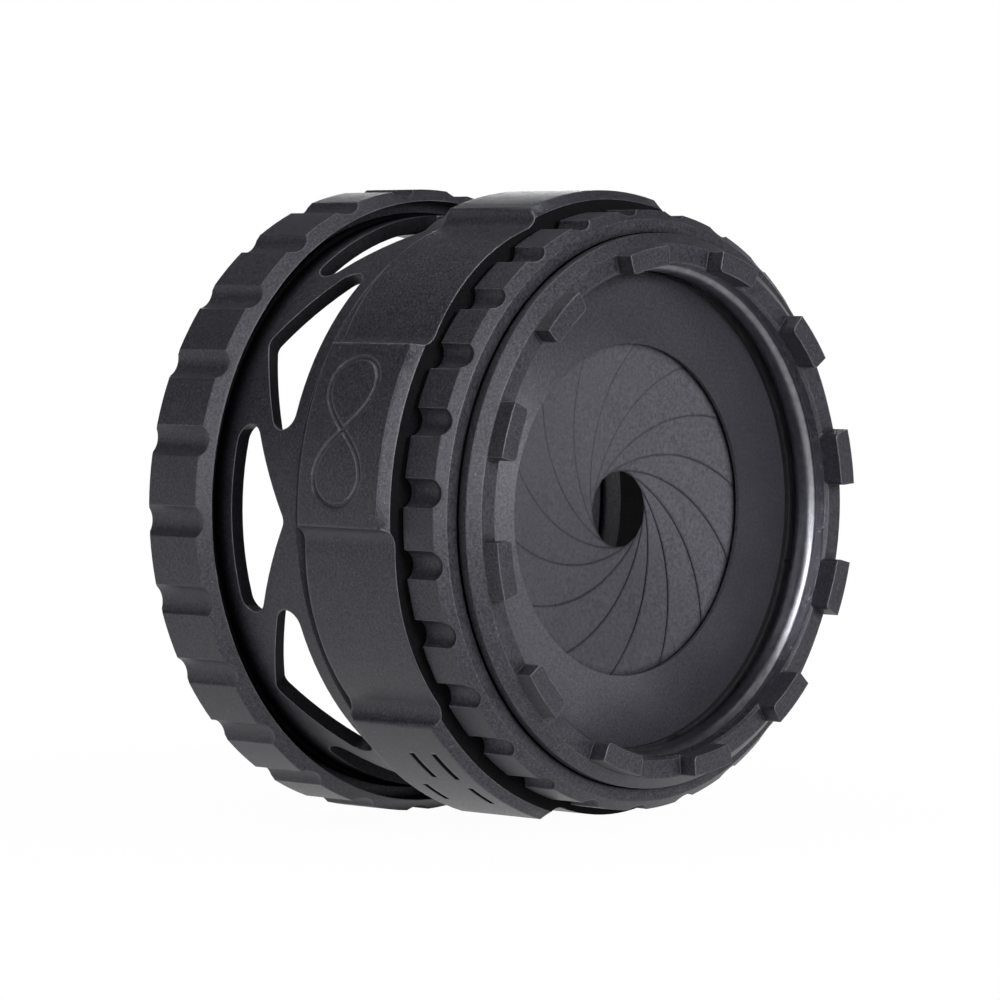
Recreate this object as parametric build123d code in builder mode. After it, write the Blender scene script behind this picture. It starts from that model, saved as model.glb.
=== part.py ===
"""Clip-on iris diaphragm for a night-vision objective, built as its real pieces.

The optical axis is the row's Y axis.  Light enters from -Y (the front) and the lens barrel
enters from +Y (the rear).  Every "at" value below is a distance forward of the rear face,
so a point at distance s lies at Y = -s.  Angles are seen from the front, anticlockwise from
+X.  All lengths are in millimetres.
"""
from build123d import *
import os
from math import asin, atan2, cos, degrees, hypot, pi, radians, sin

# ---------------------------------------------------------------- shared clearances
RUN = 0.07                      # radial running clearance of a turning ring
SEAT = 0.05                     # clearance of a piece that is screwed or clamped in place
AXIAL_PLAY = 0.05               # end play of a turning ring
PIN_PLAY = 0.08                 # radial play of a pin in its hole or slot

# ---------------------------------------------------------------- collet that grips the lens barrel
BARREL_R = 20.75
COLLET_LENGTH = 5.0
COLLET_WALL = 1.15
COLLET_SLITS = 8
SLIT_WIDTH = 0.7
SLIT_ROOT = 0.6                 # metal left between a slit and the collet's front end
COLLET_R = BARREL_R + COLLET_WALL

# ---------------------------------------------------------------- clamp ring round the collet
CLAMP_WALL = 2.28
CLAMP_LENGTH = 6.3
CLAMP_FRONT_CHAMFER = 0.9
CLAMP_REAR_CHAMFER = 0.3
CLAMP_GROOVE_DEPTH = 2.4        # counterbore in its front face
CLAMP_FLUTES = 25
CLAMP_FLUTE_PHASE = 181.96
CLAMP_FLUTE_RADIUS = 1.5        # ball-ended finger flutes
CLAMP_FLUTE_DEPTH = 0.6
CLAMP_FLUTE_STOP = 0.2          # from the flute's ball centre to the start of the chamfer
CLAMP_BORE_R = COLLET_R + RUN
CLAMP_R = CLAMP_BORE_R + CLAMP_WALL

# ---------------------------------------------------------------- lattice cage
CAGE_STEP = 0.3                 # the cage stands this much proud of the collet
CAGE_WALL = 1.1
CAGE_LIP = 0.25                 # raised lip inside the clamp ring's groove
CAGE_LIP_WIDTH = 0.3
WINDOW_PAIRS = 5                # each pair is one window with its base to the rear, one to the front
WINDOW_PHASE = 181.46           # angle of the first window with its base to the rear
WINDOW_LENGTH = 5.65
WINDOW_FROM_COLLET = 2.25
STRUT_SPREAD = 3.35             # a lattice strut's width, measured round the cage
WINDOW_BASE_ROUND = 1.2
WINDOW_TIP_ROUND = 0.9
COLLAR_LENGTH = 1.2             # solid ring ahead of the windows, up to the chamfer
CAGE_R = COLLET_R + CAGE_STEP
CAGE_BORE_R = CAGE_R - CAGE_WALL
WINDOW_REAR_AT = COLLET_LENGTH + WINDOW_FROM_COLLET
WINDOW_FRONT_AT = WINDOW_REAR_AT + WINDOW_LENGTH
WINDOW_HALF_BASE = CAGE_R * pi / WINDOW_PAIRS - STRUT_SPREAD
COLLAR_AT = WINDOW_FRONT_AT + COLLAR_LENGTH

# ---------------------------------------------------------------- neck ahead of the cage
NECK_STEP = 1.05                # the neck is this much smaller in radius than the cage
NECK_WALL = 1.55
NECK_R = CAGE_R - NECK_STEP
NECK_BORE_R = NECK_R - NECK_WALL
COLLAR_END_AT = COLLAR_AT + NECK_STEP
BARREL_STOP_SET_BACK = 0.2      # from the start of the collar's chamfer to the barrel's shoulder
BARREL_STOP_AT = COLLAR_AT - BARREL_STOP_SET_BACK
BUMPER_THICKNESS = 0.8

# ---------------------------------------------------------------- control band on the neck
BAND_WALL = 2.78
BAND_PADS = 5
BAND_PAD_PHASE = 164.81         # centre of the first pad
BAND_PAD_ANGLE = 33.5
BAND_LENGTH = 9.4
BAND_GAP = 0.55                 # groove between the cage's collar and the band
BAND_REAR_CHAMFER = 0.5
BAND_FRONT_CHAMFER = 0.7
BAND_LIP = 0.65                 # thickness of the inner lip that bears on the cage's collar
SCOOP_DEPTH = 0.85              # of a finger scoop, at its middle
SCOOP_FLOOR_RADIUS = 17.0
SCOOP_WALL_ANGLE = 1.1          # angle that a scoop's end wall takes up
SCOOP_ROUND = 1.3
BAND_BORE_R = NECK_R + RUN
BAND_R = BAND_BORE_R + BAND_WALL
BAND_REAR_AT = COLLAR_END_AT + BAND_GAP
BAND_FRONT_AT = BAND_REAR_AT + BAND_LENGTH

# ---------------------------------------------------------------- front ring, screwed on the neck
FRONT_RING_WALL = 1.3
FRONT_RING_GAP = 0.55           # between the band and the front ring
FRONT_RING_LENGTH = 3.7
FRONT_RING_CHAMFER = 0.7
FRONT_RING_LIP = 1.1            # length of the lip that stops on the neck's end
FRONT_RING_LIP_REACH = 0.35
FRONT_FLUTES = 27
FRONT_FLUTE_PHASE = 174.96
FRONT_FLUTE_RADIUS = 1.13
FRONT_FLUTE_DEPTH = 0.8
FRONT_FLUTE_STOP = 0.46
FRONT_RING_BORE_R = NECK_R + SEAT
FRONT_RING_R = FRONT_RING_BORE_R + FRONT_RING_WALL
FRONT_RING_REAR_AT = BAND_FRONT_AT + FRONT_RING_GAP
FRONT_RING_FRONT_AT = FRONT_RING_REAR_AT + FRONT_RING_LENGTH
NECK_END_AT = FRONT_RING_FRONT_AT - FRONT_RING_LIP - SEAT

# ---------------------------------------------------------------- window stack in the neck
STACK_WALL = 1.15               # of the neck round the stack
PLATE_THICKNESS = 0.3
PLATE_SET_BACK = 1.05           # from the neck's front end to the cover plate's face
GASKET_THICKNESS = 0.4
GLASS_THICKNESS = 0.7
STACK_BORE_R = NECK_R - STACK_WALL
STACK_R = STACK_BORE_R - SEAT
PLATE_FACE_AT = NECK_END_AT - PLATE_SET_BACK
PLATE_REAR_AT = PLATE_FACE_AT - PLATE_THICKNESS
GASKET_FACE_AT = PLATE_FACE_AT + GASKET_THICKNESS
GLASS_FACE_AT = GASKET_FACE_AT + GLASS_THICKNESS

# ---------------------------------------------------------------- lug ring, screwed in the neck
LUG_RING_STEP = 0.8             # its flange is this much larger in radius than its spigot
LUG_RING_WALL = 1.55            # from its bore to its spigot's outside
LUG_RING_GAP = 0.2
LUG_RING_LENGTH = 1.48
LUG_RING_CHAMFER = 0.8
LUG_RING_INNER_CHAMFER = 0.2
LUG_RING_WEB = 1.16            # thickness of its inward rim in front of the retaining ring
LUG_COUNT = 12
LUG_PHASE = 160.56
LUG_ANGLE = 12.3
LUG_WIDTH = 1.5
LUG_HEIGHT = 1.5
LUG_ROUND = 0.35                # of its two corners at the bore
SPIGOT_WALL = 0.85
LUG_RING_R = STACK_R + LUG_RING_STEP
LUG_RING_BORE_R = STACK_R - LUG_RING_WALL
LUG_RING_REAR_AT = FRONT_RING_FRONT_AT + LUG_RING_GAP
LUG_RING_FRONT_AT = LUG_RING_REAR_AT + LUG_RING_LENGTH
SPIGOT_REAR_AT = GLASS_FACE_AT + SEAT
LUG_RING_WEB_AT = LUG_RING_FRONT_AT - LUG_RING_WEB
SPIGOT_BORE_R = STACK_R - SPIGOT_WALL

# ---------------------------------------------------------------- retaining ring in the lug ring
RETAINER_WALL = 1.1
RETAINER_LENGTH = 1.55
RETAINER_ROUND = 0.45
GASKET_REACH = 0.05             # the gasket shows this much inside the retaining ring
RETAINER_R = SPIGOT_BORE_R - SEAT
RETAINER_BORE_R = RETAINER_R - RETAINER_WALL
GASKET_BORE_R = RETAINER_BORE_R - GASKET_REACH

# ---------------------------------------------------------------- iris blades
BLADE_COUNT = 14
BLADE_PHASE = 7.62              # angle of the first blade's pivot
BLADE_THICKNESS = 0.035
BLADE_WIDTH = 4.4
BLADE_TIP_INNER_ANGLE = 75.5    # from the pivot to the tip's inner corner, about the edge's centre
BLADE_TIP_OUTER_ANGLE = 81.0
BLADE_SLOPE = 0.0375            # slope of each blade's plane, so that blades overlap in a ring
BLADE_SLOPE_LAG = 6.0           # angle from the direction of steepest rise to the pivot
BLADE_TIP_REACH = 5.3           # how far a blade's tip lies down its slope past the axis
BLADE_MARGIN = 0.15             # between a blade's ear and the spacer ring
REST_APERTURE_R = 2.85
PIVOT_PIN_R = 0.5
PIVOT_PIN_LENGTH = 0.16
EAR_LENGTH = 3.2                # from the pivot to the drive pin
EAR_WIDTH = 1.5
DRIVE_PIN_R = 0.45
DRIVE_PIN_LENGTH = 0.95         # reach of the drive pin into the cam ring
BAND_TURN = 24.0                # turn of the control band from smallest to full aperture
STOP_MARGIN = 0.5               # the cover plate's clear hole is this much inside the open blades
SPACER_WALL = 0.65
SPACER_BORE_R = STACK_R - SPACER_WALL
EAR_END_R = SPACER_BORE_R - BLADE_MARGIN
PIVOT_R = EAR_END_R - EAR_WIDTH / 2 - EAR_LENGTH
BLADE_EDGE_R = PIVOT_R - BLADE_WIDTH / 2
STOP_R = BLADE_EDGE_R - STOP_MARGIN
EDGE_OFFSET = BLADE_EDGE_R - REST_APERTURE_R
BLADE_SWING = 2 * degrees(asin(EDGE_OFFSET / (2 * PIVOT_R)))
BLADE_RISE = BLADE_SLOPE * EAR_END_R
BLADE_DIP = BLADE_SLOPE * BLADE_TIP_REACH
BLADE_LEVEL = PLATE_REAR_AT - AXIAL_PLAY / 2 - BLADE_THICKNESS - BLADE_RISE

# ---------------------------------------------------------------- cam ring and its seat
CAM_RING_WALL = 1.5             # of the neck round the cam ring
CAM_RING_LENGTH = 2.2
CAM_RING_MARGIN = 0.5           # its bore is this much outside the open blades' inner edges
CAM_SLOT_DEPTH = 1.1
CAM_SLOT_PLAY = 0.1
SEAT_LENGTH = 1.25              # flange inside the neck that carries the cam ring
SEAT_REACH = 0.1                # of that flange inside the cam ring's bore
BAND_DOWEL_R = 0.5
BAND_DOWEL_COUNT = 2
BAND_DOWEL_STEP = 2             # the dowels sit under every second pad
BAND_DOWEL_DEPTH = 1.5
CAM_BORE_R = NECK_R - CAM_RING_WALL
CAM_RING_R = CAM_BORE_R - RUN
CAM_RING_BORE_R = BLADE_EDGE_R + CAM_RING_MARGIN
CAM_RING_FACE_AT = BLADE_LEVEL - BLADE_DIP - AXIAL_PLAY
CAM_SEAT_AT = CAM_RING_FACE_AT - CAM_RING_LENGTH - AXIAL_PLAY
SEAT_BORE_R = CAM_RING_BORE_R - SEAT_REACH
FLANGE_REAR_AT = CAM_SEAT_AT - SEAT_LENGTH
SPACER_REAR_AT = CAM_RING_FACE_AT + AXIAL_PLAY
BAND_DOWEL_AT = CAM_RING_FACE_AT - CAM_SLOT_DEPTH - BAND_DOWEL_R - 2 * PIN_PLAY

# ---------------------------------------------------------------- light baffle behind the blades
BAFFLE_MARGIN = 1.0             # its bore is this much outside the open blades' inner edges
BAFFLE_WALL = 0.6
BAFFLE_LENGTH = 8.88
BAFFLE_FLANGE = 0.85
BAFFLE_BORE_R = BLADE_EDGE_R + BAFFLE_MARGIN

# ---------------------------------------------------------------- ring seal under the band
RING_SEAL_FROM_COLLAR = 2.75
RING_SEAL_WIDTH = 1.0
RING_SEAL_HEIGHT = 1.0
RING_SEAL_AT = COLLAR_END_AT + RING_SEAL_FROM_COLLAR

# the half plane that ring profiles are drawn on: x is the radius, y the distance forward
SECTION = Plane(origin=(0, 0, 0), x_dir=(1, 0, 0), z_dir=(0, 0, -1))


def face_at(distance):
    """Plane across the axis, a distance forward of the rear face, seen from the front."""
    return Plane(origin=(0, -distance, 0), x_dir=(1, 0, 0), z_dir=(0, -1, 0))


def radial_plane(angle, distance):
    """Plane whose normal points out from the axis at an angle; its y axis points forward."""
    outward = (cos(radians(angle)), 0, sin(radians(angle)))
    across = (-sin(radians(angle)), 0, cos(radians(angle)))
    return Plane(origin=(0, -distance, 0), x_dir=across, z_dir=outward)


def section(points):
    """Closed ring profile through (radius, distance forward) points."""
    with BuildSketch(SECTION) as profile:
        with BuildLine():
            Polyline(*points, close=True)
        make_face()
    return profile.sketch


def sector(inner_radius, outer_radius, middle, width):
    """Sector of an annulus, by the angle of its middle and the angle it takes up."""
    with BuildSketch() as shape:
        with BuildLine():
            outer = CenterArc((0, 0), outer_radius, middle - width / 2, width)
            inner = CenterArc((0, 0), inner_radius, middle - width / 2, width)
            Line(outer @ 0, inner @ 0)
            Line(outer @ 1, inner @ 1)
        make_face()
    return shape.sketch


def flutes(count, phase, ring_radius, radius, depth, start, end):
    """The ball-ended cutter shapes of a ring's finger flutes, which are open to the rear."""
    middle_r = ring_radius - depth + radius
    inner_r = middle_r - radius
    with BuildPart() as cutters:
        for index in range(count):
            angle = radians(phase + index * 360 / count)
            outward = (cos(angle), 0, sin(angle))
            side = Plane(origin=(0, 0, 0), x_dir=outward, z_dir=(-sin(angle), 0, cos(angle)))
            middle = Axis((middle_r * cos(angle), 0, middle_r * sin(angle)), (0, 1, 0))
            with BuildSketch(side):
                with BuildLine():
                    Polyline((middle_r, -end), (middle_r, -start), (inner_r, -start), (inner_r, -end))
                    RadiusArc((inner_r, -end), (middle_r, -end - radius), -radius)
                    Line((middle_r, -end - radius), (middle_r, -end))
                make_face()
            revolve(axis=middle)
    return cutters.part


def finish(builder, name):
    """Label a finished piece and write it."""
    builder.part.label = name
    export_step(builder.part, f"parts/{name}.step")


def window(angle, base, tip):
    """Outline of one cage window: a triangle with round corners and its base across the axis."""
    with BuildSketch(radial_plane(angle, 0).offset(CAGE_R + CAGE_WALL - WINDOW_HALF_BASE)) as outline:
        with BuildLine():
            Polyline((-WINDOW_HALF_BASE, base), (WINDOW_HALF_BASE, base), (0, tip), close=True)
        make_face()
        corners = outline.vertices().sort_by(Axis.X)
        fillet([corners[0], corners[-1]], WINDOW_BASE_ROUND)
        point = outline.vertices().sort_by(lambda v: abs(v.Y - tip))[0]
        fillet(point, WINDOW_TIP_ROUND)
    return outline.sketch


def make_cage():
    """Collet, lattice, neck and iris seat in one turned and milled piece."""
    with BuildPart() as cage:
        revolve(section([
            (BARREL_R, 0),
            (COLLET_R, 0),
            (COLLET_R, COLLET_LENGTH - CAGE_LIP_WIDTH),
            (CAGE_R + CAGE_LIP, COLLET_LENGTH - CAGE_LIP_WIDTH),
            (CAGE_R + CAGE_LIP, COLLET_LENGTH),
            (CAGE_R, COLLET_LENGTH + CAGE_LIP),
            (CAGE_R, COLLAR_AT),
            (NECK_R, COLLAR_END_AT),
            (NECK_R, NECK_END_AT),
            (STACK_BORE_R, NECK_END_AT),
            (STACK_BORE_R, SPACER_REAR_AT),
            (CAM_BORE_R, SPACER_REAR_AT),
            (CAM_BORE_R, CAM_SEAT_AT),
            (SEAT_BORE_R, CAM_SEAT_AT),
            (SEAT_BORE_R, FLANGE_REAR_AT),
            (NECK_BORE_R, FLANGE_REAR_AT),
            (NECK_BORE_R, BARREL_STOP_AT),
            (CAGE_BORE_R, BARREL_STOP_AT),
            (CAGE_BORE_R, COLLET_LENGTH),
            (BARREL_R, COLLET_LENGTH),
        ]), axis=Axis.Y)
        # gland of the seal that gives the band its drag
        gland_depth = RING_SEAL_HEIGHT + SEAT
        gland_half = RING_SEAL_WIDTH / 2 + SEAT
        gland = box_profile(NECK_R - gland_depth, NECK_R + RUN,
                            RING_SEAL_AT - gland_half, RING_SEAL_AT + gland_half)
        revolve(section(gland), axis=Axis.Y, mode=Mode.SUBTRACT)
        # slots that the band's two dowels travel in
        slot_angle = BAND_TURN + 2 * degrees((BAND_DOWEL_R + PIN_PLAY) / NECK_BORE_R)
        slot_half_width = BAND_DOWEL_R + PIN_PLAY
        with BuildSketch(face_at(BAND_DOWEL_AT - slot_half_width)):
            for angle in dowel_angles():
                add(sector(SEAT_BORE_R + BLADE_WIDTH, BAND_BORE_R, angle - BAND_TURN / 2, slot_angle))
        extrude(amount=2 * slot_half_width, mode=Mode.SUBTRACT)
        # saw slits that let the collet close
        for index in range(COLLET_SLITS):
            slit = radial_plane(WINDOW_PHASE + index * 360 / COLLET_SLITS, 0)
            slit_length = COLLET_LENGTH - CAGE_LIP_WIDTH - SLIT_ROOT
            with BuildSketch(slit.offset(BARREL_R - COLLET_WALL)):
                with Locations((0, slit_length / 2)):
                    Rectangle(SLIT_WIDTH, slit_length)
            extrude(amount=3 * COLLET_WALL, mode=Mode.SUBTRACT)
        # lattice of triangular windows, base to the rear and base to the front by turns
        for index in range(2 * WINDOW_PAIRS):
            angle = WINDOW_PHASE + index * 180 / WINDOW_PAIRS
            ends = (WINDOW_REAR_AT, WINDOW_FRONT_AT)
            if index % 2:
                ends = (WINDOW_FRONT_AT, WINDOW_REAR_AT)
            extrude(window(angle, *ends), amount=WINDOW_HALF_BASE, mode=Mode.SUBTRACT)
    finish(cage, "lattice_cage")


def dowel_angles():
    """Angles of the dowels that tie the control band to the cam ring, at rest."""
    step = BAND_DOWEL_STEP * 360 / BAND_PADS
    return [BAND_PAD_PHASE + index * step for index in range(BAND_DOWEL_COUNT)]


def make_band():
    """Outer control band: pads with finger scoops between them."""
    half_gap = 180 / BAND_PADS - BAND_PAD_ANGLE / 2
    with BuildPart() as band:
        lip_r = BAND_BORE_R + BAND_LIP
        revolve(section([
            (BAND_BORE_R, COLLAR_END_AT + AXIAL_PLAY),
            (lip_r, COLLAR_END_AT + AXIAL_PLAY),
            (lip_r, BAND_REAR_AT),
            (BAND_R - BAND_REAR_CHAMFER, BAND_REAR_AT),
            (BAND_R, BAND_REAR_AT + BAND_REAR_CHAMFER),
            (BAND_R, BAND_FRONT_AT - BAND_FRONT_CHAMFER),
            (BAND_R - BAND_FRONT_CHAMFER, BAND_FRONT_AT),
            (BAND_BORE_R, BAND_FRONT_AT),
        ]), axis=Axis.Y)
        for index in range(BAND_PADS):
            middle = BAND_PAD_PHASE + (index + 0.5) * 360 / BAND_PADS
            scoop_mid_r = BAND_R - SCOOP_DEPTH
            floor_centre = scoop_mid_r - SCOOP_FLOOR_RADIUS
            turn = Location((0, 0, 0), (0, 0, 1), middle)
            with BuildSketch(face_at(BAND_REAR_AT - BAND_GAP) * turn):
                floor_half = half_gap - SCOOP_WALL_ANGLE
                floor_end_r = (
                    floor_centre * cos(radians(floor_half))
                    + (SCOOP_FLOOR_RADIUS ** 2 - (floor_centre * sin(radians(floor_half))) ** 2) ** 0.5
                )
                low = (floor_end_r * cos(radians(floor_half)), floor_end_r * sin(radians(floor_half)))
                top = (BAND_R * cos(radians(half_gap)), BAND_R * sin(radians(half_gap)))
                beyond = (2 * top[0] - low[0], 2 * top[1] - low[1])
                far = BAND_R + BAND_FRONT_CHAMFER
                with BuildLine():
                    ThreePointArc(
                        (low[0], -low[1]), (scoop_mid_r, 0), low
                    )
                    Polyline(low, beyond, (far, beyond[1]), (far, -beyond[1]), (beyond[0], -beyond[1]),
                             (low[0], -low[1]))
                make_face()
                floor_ends = vertices().sort_by(Axis.X)[0:2]
                fillet(floor_ends, SCOOP_ROUND)
            extrude(amount=BAND_LENGTH + 2 * BAND_GAP, mode=Mode.SUBTRACT)
        for angle in dowel_angles():
            with BuildSketch(radial_plane(angle, BAND_DOWEL_AT).offset(NECK_R - BAND_DOWEL_DEPTH)):
                Circle(BAND_DOWEL_R + SEAT / 2)
            extrude(amount=2 * BAND_DOWEL_DEPTH + SEAT, mode=Mode.SUBTRACT)
    finish(band, "control_band")


def make_band_dowels():
    """Two dowels that carry the band's turn through the neck to the cam ring."""
    with BuildPart() as dowels:
        for angle in dowel_angles():
            with BuildSketch(radial_plane(angle, BAND_DOWEL_AT).offset(CAM_RING_R - BAND_DOWEL_DEPTH)):
                Circle(BAND_DOWEL_R)
            extrude(amount=NECK_R - CAM_RING_R + 2 * BAND_DOWEL_DEPTH)
    finish(dowels, "band_dowels")


def drive_pin_place(swing):
    """Radius and angle (from the pivot's) of a blade's drive pin, swing degrees from closed."""
    ear = radians(BLADE_SWING / 2 - swing)
    across = EAR_LENGTH * sin(ear)
    out = PIVOT_R + EAR_LENGTH * cos(ear)
    return hypot(out, across), degrees(atan2(across, out))


def cam_slot_point(travel):
    """Middle of a cam slot where the drive pin sits after a part of the band's travel."""
    radius, angle = drive_pin_place(BLADE_SWING * travel)
    angle = radians(angle + BAND_TURN * travel)
    return (radius * cos(angle), radius * sin(angle))


def make_cam_ring():
    """Ring behind the blades whose slots swing them as the band turns."""
    with BuildPart() as cam_ring:
        revolve(section([
            (CAM_RING_BORE_R, CAM_RING_FACE_AT - CAM_RING_LENGTH),
            (CAM_RING_R, CAM_RING_FACE_AT - CAM_RING_LENGTH),
            (CAM_RING_R, CAM_RING_FACE_AT),
            (CAM_RING_BORE_R, CAM_RING_FACE_AT),
        ]), axis=Axis.Y)
        for index in range(BLADE_COUNT):
            turn = Location((0, 0, 0), (0, 0, 1), BLADE_PHASE + index * 360 / BLADE_COUNT)
            with BuildSketch(face_at(CAM_RING_FACE_AT) * turn):
                with BuildLine() as slot_line:
                    ThreePointArc(cam_slot_point(0), cam_slot_point(0.5), cam_slot_point(1))
                SlotArc(slot_line.wire(), 2 * (DRIVE_PIN_R + CAM_SLOT_PLAY))
            extrude(amount=-CAM_SLOT_DEPTH, mode=Mode.SUBTRACT)
        for angle in dowel_angles():
            with BuildSketch(radial_plane(angle, BAND_DOWEL_AT).offset(CAM_RING_R - BAND_DOWEL_DEPTH - SEAT)):
                Circle(BAND_DOWEL_R + SEAT / 2)
            extrude(amount=2 * BAND_DOWEL_DEPTH, mode=Mode.SUBTRACT)
    finish(cam_ring, "cam_ring")


def blade_plane(index):
    """Tilted plane that one blade lies in and swings in; x points to its pivot."""
    pivot_angle = BLADE_PHASE + index * 360 / BLADE_COUNT
    rise = radians(pivot_angle - BLADE_SLOPE_LAG)
    normal = (-BLADE_SLOPE * cos(rise), -1, -BLADE_SLOPE * sin(rise))
    toward_pivot = (cos(radians(pivot_angle)), 0, sin(radians(pivot_angle)))
    return Plane(origin=(0, -BLADE_LEVEL, 0), x_dir=toward_pivot, z_dir=normal)


def make_blade(index):
    """One iris blade with its pivot pin on the front and its drive pin on the rear."""
    plane = blade_plane(index)
    pivot = (PIVOT_R, 0)
    swing = radians(BLADE_SWING)
    edge_centre = (PIVOT_R * (1 - cos(swing)), -PIVOT_R * sin(swing))
    to_pivot = degrees(atan2(-edge_centre[1], PIVOT_R - edge_centre[0]))
    outer_r = BLADE_EDGE_R + BLADE_WIDTH
    drive_radius, drive_angle = drive_pin_place(0)
    drive = (drive_radius * cos(radians(drive_angle)), drive_radius * sin(radians(drive_angle)))
    with BuildPart() as blade:
        with BuildSketch(plane):
            with BuildLine():
                inner = CenterArc(edge_centre, BLADE_EDGE_R, to_pivot, BLADE_TIP_INNER_ANGLE)
                outer = CenterArc(edge_centre, outer_r, to_pivot, BLADE_TIP_OUTER_ANGLE)
                Line(inner @ 1, outer @ 1)
                Line(inner @ 0, outer @ 0)
            make_face()
            with Locations(pivot):
                Circle(BLADE_WIDTH / 2)
            ear_middle = ((pivot[0] + drive[0]) / 2, (pivot[1] + drive[1]) / 2)
            with Locations(ear_middle):
                SlotCenterToCenter(EAR_LENGTH, EAR_WIDTH, rotation=BLADE_SWING / 2)
        extrude(amount=BLADE_THICKNESS)
        with BuildSketch(plane):
            with Locations(pivot):
                Circle(PIVOT_PIN_R)
        extrude(amount=BLADE_THICKNESS + PIVOT_PIN_LENGTH)
        with BuildSketch(plane):
            with Locations(drive):
                Circle(DRIVE_PIN_R)
        extrude(amount=-(BLADE_RISE + BLADE_DIP + AXIAL_PLAY + DRIVE_PIN_LENGTH))
    finish(blade, f"iris_blade_{index + 1:02d}")


def make_cover_plate():
    """Thin front plate with the clear aperture and the blades' pivot holes in its back."""
    with BuildPart() as plate:
        revolve(section([
            (STOP_R, PLATE_REAR_AT),
            (STACK_R, PLATE_REAR_AT),
            (STACK_R, PLATE_FACE_AT),
            (STOP_R, PLATE_FACE_AT),
        ]), axis=Axis.Y)
        for index in range(BLADE_COUNT):
            hole = blade_plane(index)
            with BuildSketch(hole):
                with Locations((PIVOT_R, 0)):
                    Circle(PIVOT_PIN_R + PIN_PLAY)
            extrude(amount=BLADE_THICKNESS + PIVOT_PIN_LENGTH + AXIAL_PLAY, mode=Mode.SUBTRACT)
    finish(plate, "cover_plate")


def make_ring(name, points):
    """A plain turned ring."""
    with BuildPart() as ring:
        revolve(section(points), axis=Axis.Y)
    finish(ring, name)


def make_front_ring():
    """Fluted front housing ring, screwed over the neck."""
    with BuildPart() as front_ring:
        bore_r = FRONT_RING_BORE_R
        lip_r = NECK_R - FRONT_RING_LIP_REACH
        lip_at = FRONT_RING_FRONT_AT - FRONT_RING_LIP
        revolve(section([
            (bore_r, FRONT_RING_REAR_AT),
            (FRONT_RING_R, FRONT_RING_REAR_AT),
            (FRONT_RING_R, FRONT_RING_FRONT_AT - FRONT_RING_CHAMFER),
            (FRONT_RING_R - FRONT_RING_CHAMFER, FRONT_RING_FRONT_AT),
            (lip_r, FRONT_RING_FRONT_AT),
            (lip_r, lip_at),
            (bore_r, lip_at),
        ]), axis=Axis.Y)
        flute_end = FRONT_RING_FRONT_AT - FRONT_RING_CHAMFER - FRONT_FLUTE_STOP
        add(flutes(FRONT_FLUTES, FRONT_FLUTE_PHASE, FRONT_RING_R, FRONT_FLUTE_RADIUS,
                   FRONT_FLUTE_DEPTH, FRONT_RING_REAR_AT, flute_end), mode=Mode.SUBTRACT)
    finish(front_ring, "front_ring")


def make_lug_ring():
    """Ring with twelve short lugs that front accessories drop on to."""
    with BuildPart() as lug_ring:
        revolve(section([
            (SPIGOT_BORE_R, SPIGOT_REAR_AT),
            (STACK_R, SPIGOT_REAR_AT),
            (STACK_R, LUG_RING_REAR_AT),
            (LUG_RING_R, LUG_RING_REAR_AT),
            (LUG_RING_R, LUG_RING_FRONT_AT - LUG_RING_CHAMFER),
            (LUG_RING_R - LUG_RING_CHAMFER, LUG_RING_FRONT_AT),
            (LUG_RING_BORE_R + LUG_RING_INNER_CHAMFER, LUG_RING_FRONT_AT),
            (LUG_RING_BORE_R, LUG_RING_FRONT_AT - LUG_RING_INNER_CHAMFER),
            (LUG_RING_BORE_R, LUG_RING_WEB_AT),
            (SPIGOT_BORE_R, LUG_RING_WEB_AT),
        ]), axis=Axis.Y)
        with BuildSketch(face_at(LUG_RING_FRONT_AT - LUG_RING_INNER_CHAMFER)) as lugs:
            for index in range(LUG_COUNT):
                middle = LUG_PHASE + index * 360 / LUG_COUNT
                add(sector(LUG_RING_BORE_R, LUG_RING_BORE_R + LUG_WIDTH, middle, LUG_ANGLE))
            corners = lugs.vertices().filter_by(
                lambda corner: hypot(corner.X, corner.Y) < LUG_RING_BORE_R + LUG_WIDTH / 2
            )
            fillet(corners, LUG_ROUND)
        extrude(amount=LUG_HEIGHT + LUG_RING_INNER_CHAMFER)
    finish(lug_ring, "lug_ring")


def make_clamp_ring():
    """Fluted ring that turns on the collet and closes it on the lens barrel."""
    with BuildPart() as clamp_ring:
        bore_r = CLAMP_BORE_R
        groove_r = CLAMP_R - CLAMP_FRONT_CHAMFER
        revolve(section([
            (bore_r, 0),
            (CLAMP_R - CLAMP_REAR_CHAMFER, 0),
            (CLAMP_R, CLAMP_REAR_CHAMFER),
            (CLAMP_R, CLAMP_LENGTH - CLAMP_FRONT_CHAMFER),
            (groove_r, CLAMP_LENGTH),
            (groove_r, CLAMP_LENGTH - CLAMP_GROOVE_DEPTH),
            (bore_r, CLAMP_LENGTH - CLAMP_GROOVE_DEPTH),
        ]), axis=Axis.Y)
        flute_end = CLAMP_LENGTH - CLAMP_FRONT_CHAMFER - CLAMP_FLUTE_STOP
        add(flutes(CLAMP_FLUTES, CLAMP_FLUTE_PHASE, CLAMP_R, CLAMP_FLUTE_RADIUS,
                   CLAMP_FLUTE_DEPTH, 0, flute_end), mode=Mode.SUBTRACT)
    finish(clamp_ring, "clamp_ring")


def box_profile(inner_radius, outer_radius, rear, front):
    """Corner points of a plain rectangular ring section."""
    return [(inner_radius, rear), (outer_radius, rear), (outer_radius, front), (inner_radius, front)]


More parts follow.
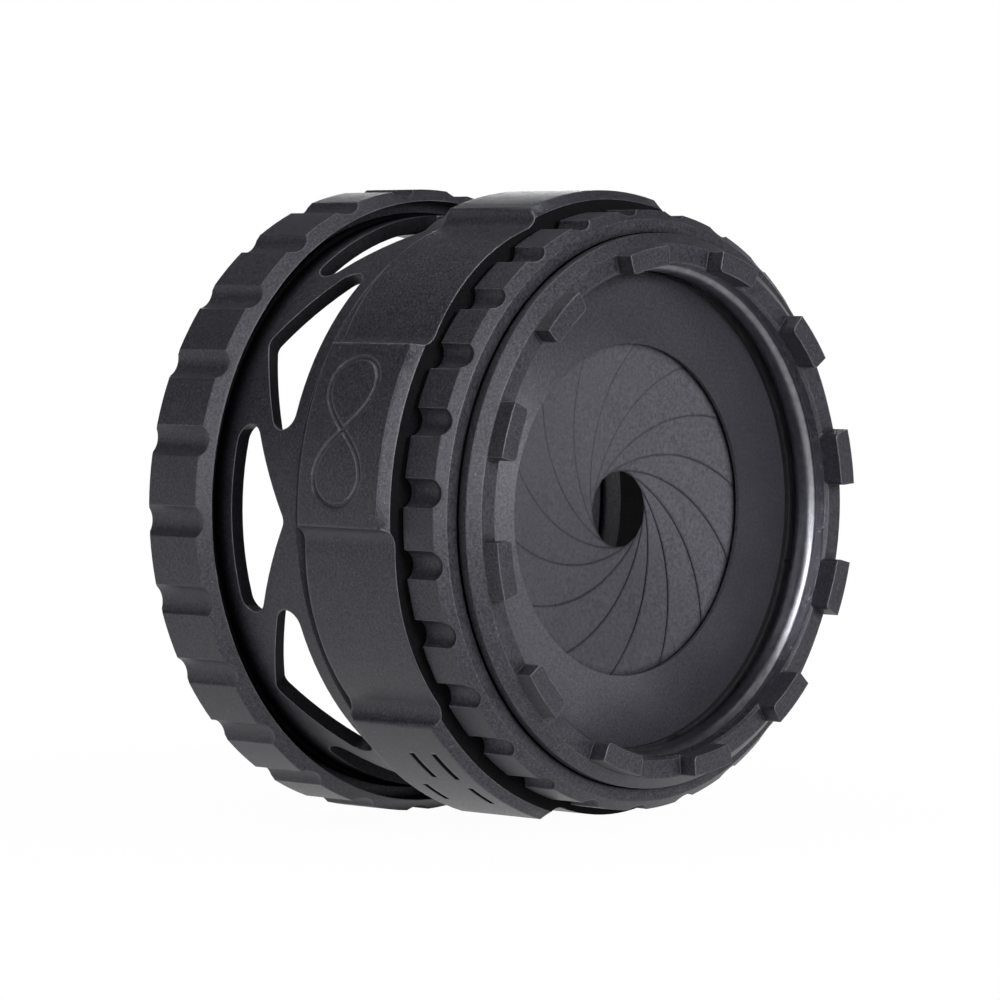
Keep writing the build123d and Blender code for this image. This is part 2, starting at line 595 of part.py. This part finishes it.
os.makedirs("parts", exist_ok=True)
make_cage()
make_clamp_ring()
make_band()
make_band_dowels()
make_cam_ring()
make_front_ring()
make_lug_ring()
make_cover_plate()
for blade_index in range(BLADE_COUNT):
    make_blade(blade_index)
make_ring("spacer_ring", box_profile(SPACER_BORE_R, STACK_R, SPACER_REAR_AT, PLATE_REAR_AT))
make_ring("window_gasket", box_profile(GASKET_BORE_R, STACK_R, PLATE_FACE_AT, GASKET_FACE_AT))
retainer_face_at = GLASS_FACE_AT + RETAINER_LENGTH
retainer_edge = [
    (RETAINER_BORE_R + RETAINER_ROUND * (1 - cos(turn)), retainer_face_at - RETAINER_ROUND * (1 - sin(turn)))
    for turn in (pi / 2, pi / 3, pi / 6, 0)
]
make_ring("retaining_ring", [
    (RETAINER_BORE_R, GLASS_FACE_AT),
    (RETAINER_R, GLASS_FACE_AT),
    (RETAINER_R, retainer_face_at),
    *retainer_edge,
])
seal_rear_at = RING_SEAL_AT - RING_SEAL_WIDTH / 2
make_ring("ring_seal",
          box_profile(NECK_R - RING_SEAL_HEIGHT, NECK_R, seal_rear_at, seal_rear_at + RING_SEAL_WIDTH))
bumper_rear_at = BARREL_STOP_AT - BUMPER_THICKNESS
make_ring("barrel_bumper", box_profile(NECK_BORE_R, CAGE_BORE_R - SEAT, bumper_rear_at, BARREL_STOP_AT))
make_ring("light_baffle", [
    (BAFFLE_BORE_R, FLANGE_REAR_AT - BAFFLE_LENGTH),
    (BAFFLE_BORE_R + BAFFLE_WALL, FLANGE_REAR_AT - BAFFLE_LENGTH),
    (BAFFLE_BORE_R + BAFFLE_WALL, FLANGE_REAR_AT - BAFFLE_FLANGE),
    (NECK_BORE_R - SEAT, FLANGE_REAR_AT - BAFFLE_FLANGE),
    (NECK_BORE_R - SEAT, FLANGE_REAR_AT),
    (BAFFLE_BORE_R, FLANGE_REAR_AT),
])
with BuildPart() as window_glass:
    with BuildSketch(face_at(GASKET_FACE_AT)):
        Circle(STACK_R)
    extrude(amount=GLASS_THICKNESS)
finish(window_glass, "window_glass")
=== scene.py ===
"""Looks of the clip-on iris diaphragm: materials, engraved marks, studio and camera."""
import bmesh
import bpy
from math import atan2, cos, degrees, pi, radians, sin
from mathutils import Matrix, Vector


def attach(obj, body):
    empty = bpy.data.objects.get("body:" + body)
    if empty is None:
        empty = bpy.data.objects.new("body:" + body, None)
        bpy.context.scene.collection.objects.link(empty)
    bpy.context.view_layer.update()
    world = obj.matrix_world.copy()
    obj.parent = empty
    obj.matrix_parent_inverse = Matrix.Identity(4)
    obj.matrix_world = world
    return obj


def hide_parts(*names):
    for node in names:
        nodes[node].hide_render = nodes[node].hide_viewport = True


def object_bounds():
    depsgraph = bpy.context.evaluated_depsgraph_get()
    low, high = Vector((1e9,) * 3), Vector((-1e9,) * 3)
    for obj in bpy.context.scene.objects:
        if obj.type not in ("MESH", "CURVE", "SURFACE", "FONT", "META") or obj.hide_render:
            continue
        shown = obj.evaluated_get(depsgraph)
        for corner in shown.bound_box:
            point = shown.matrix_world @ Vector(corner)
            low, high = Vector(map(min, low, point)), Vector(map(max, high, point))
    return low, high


MM = 0.001
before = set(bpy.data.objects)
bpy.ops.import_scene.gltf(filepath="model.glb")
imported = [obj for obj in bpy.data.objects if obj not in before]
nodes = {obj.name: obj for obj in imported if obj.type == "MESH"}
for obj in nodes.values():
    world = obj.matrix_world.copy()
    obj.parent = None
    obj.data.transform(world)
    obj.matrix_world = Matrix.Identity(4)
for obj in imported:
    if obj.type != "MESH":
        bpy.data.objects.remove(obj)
cad_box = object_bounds()
scene = bpy.context.scene

# radii of the part, and distances forward of its rear face, in mm
PAD_R = 24.0                            # the hand ring's pads
BAND_FRONT_R = 23.4                     # the hand ring's front wall lies inside this radius
BAND_FRONT_AT = 25.0                    # and forward of this distance
WINDOWS_FROM, WINDOWS_TO = 6.0, 17.5    # the cage's windows lie between these distances
CAGE_WALL_R = 19.0                      # and outside this radius
LUG_BORE_R = 18.7                       # the lug ring's bore wall lies inside this radius
LUG_BORE_TO = 31.1                      # and behind this distance

# finishes
MOTTLE_SCALE = 420.0                    # cells of the broad mottling per metre
MOTTLE_SHARE = 0.18                     # of it in the colour, the rest is the fine grain
# colour of the lightened edges: abrasion and painted highlight
WEAR_AND_HIGHLIGHT_COLOUR = (0.17, 0.172, 0.19)
DOT_COLOUR = (0.16, 0.16, 0.185)
SHADE_COLOUR = (0.0012, 0.0012, 0.0014)
SPECULAR_TINT = (0.925, 0.925, 1.0)
FLAT = 0.985                            # a rounded normal that agrees more than this is off the edges


# ------------------------------------------------------------------ material helpers
def new_material(name):
    material = bpy.data.materials.new(name)
    material.use_nodes = True
    material.node_tree.nodes.clear()
    return material


class Graph:
    """Small helper that adds and links the shader nodes of one material or world."""

    def __init__(self, owner):
        self.tree = owner.node_tree
        self.coordinates = self.add("ShaderNodeTexCoord").outputs

    def add(self, kind, **settings):
        node = self.tree.nodes.new(kind)
        for key, value in settings.items():
            setattr(node, key, value)
        return node

    def link(self, source, target):
        self.tree.links.new(source, target)

    def math(self, operation, first, second, clamp=False):
        node = self.add("ShaderNodeMath", operation=operation, use_clamp=clamp)
        for socket, value in zip(node.inputs, (first, second)):
            if isinstance(value, (int, float)):
                socket.default_value = value
            else:
                self.link(value, socket)
        return node.outputs[0]

    def mix_shaders(self, share, first, second, out):
        """Give the output a shader that goes from first to second with the share."""
        node = self.add("ShaderNodeMixShader")
        for socket, source in zip(node.inputs, (share, first.outputs[0], second.outputs[0])):
            self.link(source, socket)
        self.link(node.outputs[0], out.inputs[0])

    def vector(self, operation, first, second=None):
        """Vector operation on a socket and on a second socket or a constant."""
        node = self.add("ShaderNodeVectorMath", operation=operation)
        self.link(first, node.inputs[0])
        if isinstance(second, tuple):
            node.inputs[1].default_value = second
        elif isinstance(second, float):
            node.inputs["Scale"].default_value = second
        elif second:
            self.link(second, node.inputs[1])
        return node.outputs["Value" if operation in ("DOT_PRODUCT", "LENGTH") else "Vector"]

    def rounded(self, radius):
        """Normal that turns smoothly over each edge within this radius."""
        node = self.add("ShaderNodeBevel", samples=8)
        node.inputs["Radius"].default_value = radius
        return node.outputs[0]

    def noise(self, scale, detail=3.0, roughness=0.5):
        node = self.add("ShaderNodeTexNoise")
        node.inputs["Scale"].default_value = scale
        node.inputs["Detail"].default_value = detail
        node.inputs["Roughness"].default_value = roughness
        self.link(self.coordinates["Object"], node.inputs["Vector"])
        return node.outputs["Fac"]

    def blend(self, share, first, second):
        """Colour that goes from first to second with the share."""
        node = self.add("ShaderNodeMix", data_type="RGBA")
        self.link(share, node.inputs[0])
        for socket, value in ((node.inputs[6], first), (node.inputs[7], second)):
            if isinstance(value, tuple):
                socket.default_value = (*value, 1.0)
            else:
                self.link(value, socket)
        return node.outputs[2]

    def spread(self, value, low, high, to_low, to_high, kind="LINEAR"):
        """Value between low and high, spread over to_low to to_high and held beyond them."""
        node = self.add("ShaderNodeMapRange", interpolation_type=kind)
        for key, number in (("From Min", low), ("From Max", high), ("To Min", to_low), ("To Max", to_high)):
            node.inputs[key].default_value = number
        self.link(value, node.inputs["Value"])
        return node.outputs[0]

    def ramp(self, factor, stops):
        node = self.add("ShaderNodeValToRGB")
        elements = node.color_ramp.elements
        while len(elements) < len(stops):
            elements.new(0.5)
        for element, (position, colour) in zip(elements, stops):
            element.position = position
            element.color = (*colour, 1.0)
        self.link(factor, node.inputs[0])
        return node.outputs[0]


def principled(name):
    """New material with a principled shader as its surface."""
    material = new_material(name)
    g = Graph(material)
    out = g.add("ShaderNodeOutputMaterial")
    shader = g.add("ShaderNodeBsdfPrincipled")
    g.link(shader.outputs[0], out.inputs[0])
    return material, g, shader


def edge_turn(g, normal, surface):
    """How far the rounded normal agrees with the surface's: 1 on a flat, less beside an edge."""
    return g.vector("DOT_PRODUCT", normal, surface.outputs["Normal"])


def dished_normal(g, surface, lean):
    """Normal that leans this much away from the part's axis."""
    flat = g.vector("MULTIPLY", surface.outputs["Position"], (1.0, 0.0, 1.0))
    outward = g.vector("SCALE", g.vector("NORMALIZE", flat), lean)
    return g.vector("NORMALIZE", g.vector("ADD", surface.outputs["Normal"], outward))


def coated_metal(name, dark, light, rough_low, rough_high, grain, grain_height, specular=0.5,
                 edge_radius=0.0, wear_and_highlight=0.0, speckle=0.0, metallic=0.0, painted_shade_reach=0.0, painted_shade_low=0.2,
                 edge_shade=0.0, dish=0.0):
    """Matt or satin finish with a fine grain of this many cells per metre.

    edge_radius rounds the edges' shading and speckle adds light dots. hollow paints shade, a darker colour
    and less sheen, on what has a wall within that distance; only with it, wear lightens the edges, as
    abrasion and as painted highlight, and rim paints a line of shade along them. dish leans the normals away
    from the axis, or towards it where it is negative.
    """
    material, g, shader = principled(name)
    surface = g.add("ShaderNodeNewGeometry")
    mottle = g.noise(MOTTLE_SCALE, 5.0, 0.6)
    fine = g.noise(grain, 4.0, 0.65)
    mixed = g.math("ADD", g.math("MULTIPLY", mottle, MOTTLE_SHARE),
                   g.math("MULTIPLY", fine, 1.0 - MOTTLE_SHARE))
    colour = g.ramp(mixed, [(0.34, dark), (0.66, light)])
    if speckle:
        dots = g.math("GREATER_THAN", g.noise(grain * 1.5, 1.0, 0.4), 0.70)
        colour = g.blend(g.math("MULTIPLY", dots, speckle), colour, DOT_COLOUR)
    bump = g.add("ShaderNodeBump")
    bump.inputs["Strength"].default_value = 1.0
    bump.inputs["Distance"].default_value = grain_height
    g.link(fine, bump.inputs["Height"])
    unshaded_share = None
    # share left out of the painted shade, from how near other walls stand
    if painted_shade_reach:
        corner = g.add("ShaderNodeAmbientOcclusion", samples=8)
        corner.inputs["Distance"].default_value = painted_shade_reach
        unshaded_share = g.spread(corner.outputs["AO"], painted_shade_low, 0.85, 0.0, 1.0)
    if dish:
        g.link(dished_normal(g, surface, dish), bump.inputs["Normal"])
    if edge_radius:
        edge = g.rounded(edge_radius)
        g.link(edge, bump.inputs["Normal"])
        # edges lightened, as abrasion and as painted highlight
        if wear_and_highlight:
            worn_and_lit = g.spread(edge_turn(g, edge, surface), FLAT, 0.80, 0.0, wear_and_highlight)
            worn_and_lit = g.math("MULTIPLY", worn_and_lit, g.spread(mottle, 0.35, 0.6, 0.35, 1.0))
            colour = g.blend(g.math("MULTIPLY", worn_and_lit, unshaded_share), colour, WEAR_AND_HIGHLIGHT_COLOUR)
    sheen = g.spread(fine, 0.35, 0.65, 0.72 * specular, 1.28 * specular)
    # painted shade in a line beside each edge
    if edge_shade:
        edge_unshaded = g.spread(edge_turn(g, g.rounded(edge_shade), surface), 0.86, FLAT, 0.12, 1.0)
        unshaded_share = g.math("MULTIPLY", unshaded_share, edge_unshaded)
    # painted shade: the colour goes towards near black and the sheen drops
    if painted_shade_reach:
        colour = g.blend(unshaded_share, SHADE_COLOUR, colour)
        sheen = g.math("MULTIPLY", unshaded_share, sheen)
    shader.inputs["Specular Tint"].default_value = (*SPECULAR_TINT, 1.0)
    shader.inputs["Metallic"].default_value = metallic
    g.link(sheen, shader.inputs["Specular IOR Level"])
    g.link(colour, shader.inputs["Base Color"])
    g.link(g.spread(fine, 0.3, 0.7, rough_low, rough_high), shader.inputs["Roughness"])
    g.link(bump.outputs[0], shader.inputs["Normal"])
    return material


# the three anodised finishes differ in how rounded their edges look, how much abrasion and painted highlight
# lighten them, and how far painted shade reaches from nearby walls
anodised_colours = (0.0075, 0.0072, 0.0098), (0.0245, 0.0236, 0.0302)
anodised = coated_metal("anodised_black", *anodised_colours, 0.32, 0.54, 5200.0, 0.00003, specular=0.43,
                        edge_radius=0.00018, wear_and_highlight=0.5, speckle=0.28, painted_shade_reach=0.0010)
band_anodised = coated_metal("anodised_band", *anodised_colours, 0.30, 0.52, 5200.0, 0.00003, specular=0.42,
                             edge_radius=0.00036, wear_and_highlight=1.0, speckle=0.35, painted_shade_reach=0.0010)
cage_anodised = coated_metal("anodised_cage", *anodised_colours, 0.32, 0.54, 5200.0, 0.00003, specular=0.43,
                             edge_radius=0.00026, wear_and_highlight=1.0, speckle=0.35, painted_shade_reach=0.0050, painted_shade_low=0.34)
# the cover plate and the leaves look slightly dished; the leaves also carry painted shade near other walls
# and in a line beside their edges
plate_black = coated_metal("plate_black", (0.020, 0.0196, 0.0238), (0.040, 0.0393, 0.0467),
                           0.34, 0.40, 5200.0, 0.0, specular=0.80, dish=0.28)
blade_black = coated_metal("blade_black", (0.0275, 0.0274, 0.0322), (0.0530, 0.0527, 0.0612),
                           0.34, 0.44, 4200.0, 0.0, specular=0.55, painted_shade_reach=0.0009, painted_shade_low=0.30,
                           edge_shade=0.00026, dish=-0.20)
# walls inside the part, and painted shade on the cage's window walls and on the hand ring's front wall and
# slits
shaded_window_wall = coated_metal("shaded_window_wall", (0.0045, 0.0044, 0.0056), (0.009, 0.0088, 0.011),
                           0.45, 0.6, 5200.0, 0.00001, specular=0.16)
inner_black_and_shade = coated_metal("inner_black_and_shade", (0.0022, 0.0022, 0.0025), (0.004, 0.004, 0.0046),
                           0.6, 0.8, 6000.0, 0.00001, specular=0.07)
baffle_black = coated_metal("baffle_black", (0.009, 0.009, 0.0095), (0.013, 0.013, 0.0135),
                            0.6, 0.8, 6000.0, 0.00001, specular=0.06)
# bright turned surfaces
gloss_black = coated_metal("gloss_black", (0.135, 0.135, 0.149), (0.20, 0.20, 0.218),
                           0.29, 0.33, 1500.0, 0.0, edge_radius=0.0009, metallic=1.0)
bore_black = coated_metal("bore_black", (0.20, 0.20, 0.22), (0.28, 0.28, 0.306),
                          0.24, 0.28, 1500.0, 0.0, edge_radius=0.0002, metallic=1.0)


def make_rubber():
    material, g, shader = principled("rubber_black")
    fine = g.noise(2600.0, 3.0, 0.6)
    g.link(g.ramp(fine, [(0.3, (0.009, 0.009, 0.0104)), (0.75, (0.016, 0.016, 0.018))]),
           shader.inputs["Base Color"])
    g.link(g.math("ADD", g.math("MULTIPLY", fine, 0.2), 0.62), shader.inputs["Roughness"])
    shader.inputs["Specular IOR Level"].default_value = 0.15
    bump = g.add("ShaderNodeBump")
    bump.inputs["Distance"].default_value = 0.00002
    g.link(fine, bump.inputs["Height"])
    g.link(bump.outputs[0], shader.inputs["Normal"])
    return material


def make_steel():
    material, g, shader = principled("dowel_steel")
    shader.inputs["Metallic"].default_value = 1.0
    lines = g.noise(3000.0, 2.0, 0.5)
    g.link(g.ramp(lines, [(0.3, (0.42, 0.43, 0.45)), (0.7, (0.55, 0.56, 0.58))]), shader.inputs["Base Color"])
    g.link(g.math("ADD", g.math("MULTIPLY", lines, 0.15), 0.2), shader.inputs["Roughness"])
    return material


def make_glass():
    """Thin anti-reflection coated window: it passes the light straight on and reflects a little."""
    material = new_material("coated_glass")
    g = Graph(material)
    out = g.add("ShaderNodeOutputMaterial")
    clear = g.add("ShaderNodeBsdfTransparent")
    dust = g.noise(900.0, 4.0, 0.7)
    g.link(g.ramp(dust, [(0.35, (0.975, 0.968, 0.975)), (0.8, (0.955, 0.948, 0.958))]), clear.inputs[0])
    shine = g.add("ShaderNodeBsdfGlossy")
    shine.inputs["Color"].default_value = (0.82, 0.86, 1.0, 1.0)
    shine.inputs["Roughness"].default_value = 0.03
    fresnel = g.add("ShaderNodeFresnel")
    fresnel.inputs["IOR"].default_value = 1.22
    g.mix_shaders(g.math("MULTIPLY", fresnel.outputs[0], 0.05), clear, shine, out)
    return material


rubber = make_rubber()
steel = make_steel()
glass = make_glass()

finish_of = {
    "cover_plate": plate_black, "cam_ring": inner_black_and_shade, "spacer_ring": inner_black_and_shade,
    "light_baffle": baffle_black, "retaining_ring": gloss_black, "window_gasket": rubber,
    "barrel_bumper": rubber, "ring_seal": rubber, "band_dowels": steel, "window_glass": glass,
    "lattice_cage": cage_anodised,
}
for name, node in nodes.items():
    finish = finish_of.get(name, blade_black if name.startswith("iris_blade") else anodised)
    node.data.materials.clear()
    node.data.materials.append(finish)


def second_finish(mesh, finish, chosen):
    """Give the finish to each chosen face, by its place off the axis and forward in mm, and its normal."""
    mesh.materials.append(finish)
    for face in mesh.polygons:
        away = Vector((face.center.x, 0.0, face.center.z))
        if chosen(away / MM, -face.center.y / MM, face.normal):
            face.material_index = 1


def is_window_wall(away, forward, normal):
    """The walls of the cage's windows get a darker, less shiny finish: painted shade."""
    return WINDOWS_FROM < forward < WINDOWS_TO and away.length > CAGE_WALL_R \
        and abs(normal.dot(away.normalized())) < 0.2


def is_lug_bore(away, forward, normal):
    """The lug ring's bore is machined after the coating, so its wall is bright."""
    return away.length < LUG_BORE_R and abs(normal.y) < 0.3 and forward < LUG_BORE_TO


# painted shade on the walls of the cage's windows
second_finish(nodes["lattice_cage"].data, shaded_window_wall, is_window_wall)
second_finish(nodes["lug_ring"].data, bore_black, is_lug_bore)


# ------------------------------------------------------------------ engraved marks, in mm
GROOVE_R = 0.21                 # radius of the engraving tool
SLIT_R = 0.27                   # of the tool for the four slits
GROOVE_LIFT = 0.05              # of the tool's centre above the pad
WELD = 0.0005                   # corners closer than this are one
# each slit runs from an angle to an angle, at a distance forward of the rear face
SLITS = ((227.4, 234.9, 20.25), (227.2, 235.0, 22.6), (238.1, 244.7, 18.1), (238.1, 244.7, 22.8))
SLITS_FROM, SLITS_TO = 226.5, 245.5     # angles between which they all lie
SLITS_BACK, SLITS_FRONT = 17.0, 24.0    # distances between which they all lie
SLITS_FLOOR_R = 23.6            # inside the radius of their floors
INFINITY_ANGLE = 164.5          # angle of the infinity mark's middle
INFINITY_AT = 20.02             # its distance forward
INFINITY_HALF = 13.5            # its half length, as an angle
INFINITY_WIDTH = 6.65           # its width is 0.71 of this


def on_pad(angle, distance, radius):
    """Place at this angle seen from the front and this distance forward of the rear face, in mm."""
    return Vector((radius * cos(radians(angle)), -distance, radius * sin(radians(angle))))


def groove_tool(bm, path, radius, sides=10):
    """Closed tube along the path, half sunk in the pad; the path's first and last places only steer it."""
    rings = []
    for before, (angle, distance), after in zip(path, path[1:], path[2:]):
        along = (on_pad(*after, PAD_R) - on_pad(*before, PAD_R)).normalized()
        out = on_pad(angle, 0.0, 1.0)
        side = along.cross(out).normalized()
        middle = on_pad(angle, distance, PAD_R + GROOVE_LIFT)
        turns = [2 * pi * k / sides for k in range(sides)]
        rings.append([bm.verts.new(middle + radius * (cos(t) * side + sin(t) * out)) for t in turns])
    for first, second in zip(rings, rings[1:]):
        for k in range(sides):
            j = (k + 1) % sides
            bm.faces.new((first[k], first[j], second[j], second[k]))
    bm.faces.new(rings[0][::-1])
    bm.faces.new(rings[-1])


def tool_object(name, paths, radius):
    bm = bmesh.new()
    for path in paths:
        groove_tool(bm, path, radius)
    bmesh.ops.recalc_face_normals(bm, faces=bm.faces)
    mesh = bpy.data.meshes.new(name)
    bm.to_mesh(mesh)
    bm.free()
    tool = bpy.data.objects.new(name, mesh)
    scene.collection.objects.link(tool)
    return tool


def infinity_path(start, end, count=56):
    """Stretch of the infinity mark, a lemniscate, as pairs of angle and distance."""
    path = []
    for index in range(-1, count + 2):
        t = start + (end - start) * index / count
        share = 1 + sin(t) ** 2
        angle = INFINITY_ANGLE + INFINITY_HALF * cos(t) / share
        path.append((angle, INFINITY_AT + INFINITY_WIDTH * sin(t) * cos(t) / share))
    return path


def slit_path(start, end, distance, count=6):
    """Stretch at one distance between two angles, as pairs of angle and distance."""
    return [(start + (end - start) * k / count, distance) for k in range(-1, count + 2)]


def is_front_wall_or_slit(away, forward, normal):
    """The hand ring's front wall and the slits in its pad get a near-black finish: painted shade."""
    front_wall = normal.y < -0.9 and forward > BAND_FRONT_AT and away.length < BAND_FRONT_R
    turn = degrees(atan2(away.z, away.x)) % 360
    in_pad = SLITS_FLOOR_R < away.length < PAD_R - 0.03
    slit = in_pad and SLITS_FROM < turn < SLITS_TO and SLITS_BACK < forward < SLITS_FRONT
    return front_wall or slit


def cut_marks(piece):
    """Cut the infinity mark and the four slits into the piece."""
    tools = [
        tool_object("tool_a", [infinity_path(0.0, pi)], GROOVE_R),
        tool_object("tool_b", [infinity_path(pi, 2 * pi)], GROOVE_R),
        tool_object("tool_c", [slit_path(*slit) for slit in SLITS], SLIT_R),
    ]
    for tool in tools:
        cut = piece.modifiers.new(tool.name, "BOOLEAN")
        cut.operation = "DIFFERENCE"
        cut.solver = "EXACT"
        cut.object = tool
    shaped = piece.evaluated_get(bpy.context.evaluated_depsgraph_get())
    piece.data = bpy.data.meshes.new_from_object(shaped)
    piece.modifiers.clear()
    for tool in tools:
        bpy.data.objects.remove(tool)


def round_pad_normals(mesh):
    """Shade the pads as one round surface right up to the marks' edges."""
    for face in mesh.polygons:
        face.use_smooth = True
    mesh.set_sharp_from_angle(angle=radians(24))
    normals = [corner.vector.copy() for corner in mesh.corner_normals]
    for face in mesh.polygons:
        away = Vector((face.center.x, 0.0, face.center.z))
        if away.length < PAD_R - 0.02 or face.normal.dot(away.normalized()) < 0.995:
            continue
        for loop in face.loop_indices:
            place = mesh.vertices[mesh.loops[loop].vertex_index].co
            normals[loop] = Vector((place.x, 0.0, place.z)).normalized()
    mesh.normals_split_custom_set(normals)


def engraved_band():
    """The hand ring with its marks cut in: a new mesh that stands for the CAD one."""
    bpy.context.view_layer.update()
    source = nodes["control_band"]
    mesh = source.data.copy()
    mesh.transform(Matrix.Scale(1 / MM, 4) @ source.matrix_world)
    bm = bmesh.new()
    bm.from_mesh(mesh)
    bmesh.ops.remove_doubles(bm, verts=bm.verts, dist=WELD)
    bm.to_mesh(mesh)
    bm.free()
    piece = bpy.data.objects.new("engraved_band", mesh)
    scene.collection.objects.link(piece)
    cut_marks(piece)
    mesh = piece.data
    round_pad_normals(mesh)
    mesh.transform(Matrix.Scale(MM, 4))
    mesh.materials.clear()
    mesh.materials.append(band_anodised)
    # painted shade on the hand ring's front wall and in its slits
    second_finish(mesh, inner_black_and_shade, is_front_wall_or_slit)
    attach(piece, "band")
    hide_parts("control_band")


engraved_band()


# ------------------------------------------------------------------ studio
MIDDLE = Vector((0.0, -0.016, 0.0))     # of the part, that the lamps point at
FLOOR_DROP = 0.0001                     # of the floor below the part
FLOOR_REACH = 3.0
SHADOW_FADE = (0.02, 0.08)              # distances from the part over which its shadow fades out
TABLE_WAY = (0.72, -0.694, 0.0)
TABLE_EDGE = (0.19, 0.24)               # distances that way over which the white floor ends
SWEEP_WAY = (0.72, 0.694, 0.0)
SWEEP_SIDE = (0.15, 0.70)               # shares of that way over which the white sweep begins
SWEEP_TOP = (0.12, 0.45)                # heights of a direction over which the sweep ends


def area_light(name, place, size, power):
    """Square lamp of this side, turned towards the middle of the part."""
    data = bpy.data.lights.new(name, "AREA")
    data.energy = power
    data.size = size
    lamp = bpy.data.objects.new(name, data)
    scene.collection.objects.link(lamp)
    lamp.location = place
    lamp.rotation_mode = "QUATERNION"
    lamp.rotation_quaternion = (MIDDLE - Vector(place)).to_track_quat("-Z", "Y")


def bounced_rays(g, path):
    """1 for the rays by which metal and glass show what stands round them."""
    return g.math("ADD", path.outputs["Is Glossy Ray"], path.outputs["Is Transmission Ray"], clamp=True)


def backdrop_material(name, colour, near_share):
    """Floor that is white to the camera and keeps a part of the object's shadow nearby."""
    material = new_material(name)
    g = Graph(material)
    out = g.add("ShaderNodeOutputMaterial")
    matt = g.add("ShaderNodeBsdfDiffuse")
    soft = g.noise(6.0, 2.0, 0.5)
    g.link(g.ramp(soft, [(0.2, colour), (0.8, tuple(c * 0.985 for c in colour))]), matt.inputs[0])
    white = g.add("ShaderNodeEmission")
    white.inputs[1].default_value = 1.0
    path = g.add("ShaderNodeLightPath")
    place = g.coordinates["Object"]
    share = g.spread(g.vector("LENGTH", place), *SHADOW_FADE, near_share, 1.0, "SMOOTHSTEP")
    # reflections see the white floor end at a table's edge
    table = g.spread(g.vector("DOT_PRODUCT", place, TABLE_WAY), *TABLE_EDGE, 1.0, 0.12, "SMOOTHSTEP")
    seen = g.math("ADD", path.outputs["Is Camera Ray"],
                  g.math("MULTIPLY", bounced_rays(g, path), table), clamp=True)
    g.mix_shaders(g.math("MULTIPLY", seen, share), matt, white, out)
    return material


def plane_object(name, corners, material):
    mesh = bpy.data.meshes.new(name)
    mesh.from_pydata(corners, [], [tuple(range(len(corners)))])
    mesh.materials.append(material)
    obj = bpy.data.objects.new(name, mesh)
    scene.collection.objects.link(obj)


floor_level = cad_box[0][2] - FLOOR_DROP
floor_sides = ((-1, -1), (1, -1), (1, 1), (-1, 1))
plane_object("floor", [(FLOOR_REACH * x, FLOOR_REACH * y, floor_level) for x, y in floor_sides],
             backdrop_material("floor_white", (0.70, 0.70, 0.71), 0.975))


def background(g, colour, strength):
    """World of one colour."""
    node = g.add("ShaderNodeBackground")
    node.inputs[0].default_value = (*colour, 1.0)
    node.inputs[1].default_value = strength
    return node


def make_world():
    """White to the camera; glossy surfaces see a white sweep behind the part and a dim room round it."""
    world = bpy.data.worlds.new("studio")
    scene.world = world
    world.use_nodes = True
    world.node_tree.nodes.clear()
    g = Graph(world)
    out = g.add("ShaderNodeOutputWorld")
    path = g.add("ShaderNodeLightPath")
    white = background(g, (1.0, 1.0, 1.0), 1.0)
    fill = background(g, (0.94, 0.95, 1.0), 0.10)
    heading = g.coordinates["Generated"]
    parts = g.add("ShaderNodeSeparateXYZ")
    g.link(heading, parts.inputs[0])
    low = g.spread(parts.outputs[2], *SWEEP_TOP, 1.0, 0.0, "SMOOTHSTEP")
    wall = g.spread(g.vector("DOT_PRODUCT", heading, SWEEP_WAY), *SWEEP_SIDE, 0.0, 1.0, "SMOOTHSTEP")
    sweep = g.math("MULTIPLY", g.math("MULTIPLY", low, wall), bounced_rays(g, path))
    g.mix_shaders(g.math("ADD", path.outputs["Is Camera Ray"], sweep, clamp=True), fill, white, out)


make_world()
area_light("top_soft", (0.0, 0.02, 0.45), 0.30, 1.0)
area_light("left_low", (-0.42, -0.30, 0.04), 0.10, 0.56)
area_light("front", (-0.05, -0.50, 0.12), 0.15, 2.4)
area_light("left_behind", (-0.36, 0.36, 0.03), 0.25, 0.16)
area_light("front_high", (-0.20, -0.30, 0.30), 0.10, 0.52)
area_light("by_camera", (-0.30, -0.33, 0.10), 0.06, 0.30)
area_light("right_behind", (0.36, 0.36, 0.03), 0.25, 1.4)

# ------------------------------------------------------------------ camera
AIM = Vector((0.0, -27.2, 0.0))         # in mm, as is the camera's place against it
AWAY, ASIDE, ABOVE = 375.66, -9.741, 0.732
azimuth, elevation = radians(-46.08), radians(2.69)
back = Vector((sin(azimuth) * cos(elevation), -cos(azimuth) * cos(elevation), sin(elevation)))
right = Vector((cos(azimuth), sin(azimuth), 0.0))
up = Vector((-sin(azimuth) * sin(elevation), cos(azimuth) * sin(elevation), cos(elevation)))
camera_data = bpy.data.cameras.new("camera")
camera_data.lens = 180.0
camera_data.sensor_width = 36.0
camera_data.clip_start = 0.01
camera_data.clip_end = 20.0
camera = bpy.data.objects.new("camera", camera_data)
scene.collection.objects.link(camera)
place = (AIM + ASIDE * right + ABOVE * up + AWAY * back) * MM
turn = Matrix((right, up, back)).transposed().to_4x4()
camera.matrix_world = Matrix.Translation(place) @ turn
scene.camera = camera

scene.view_settings.view_transform = "Standard"
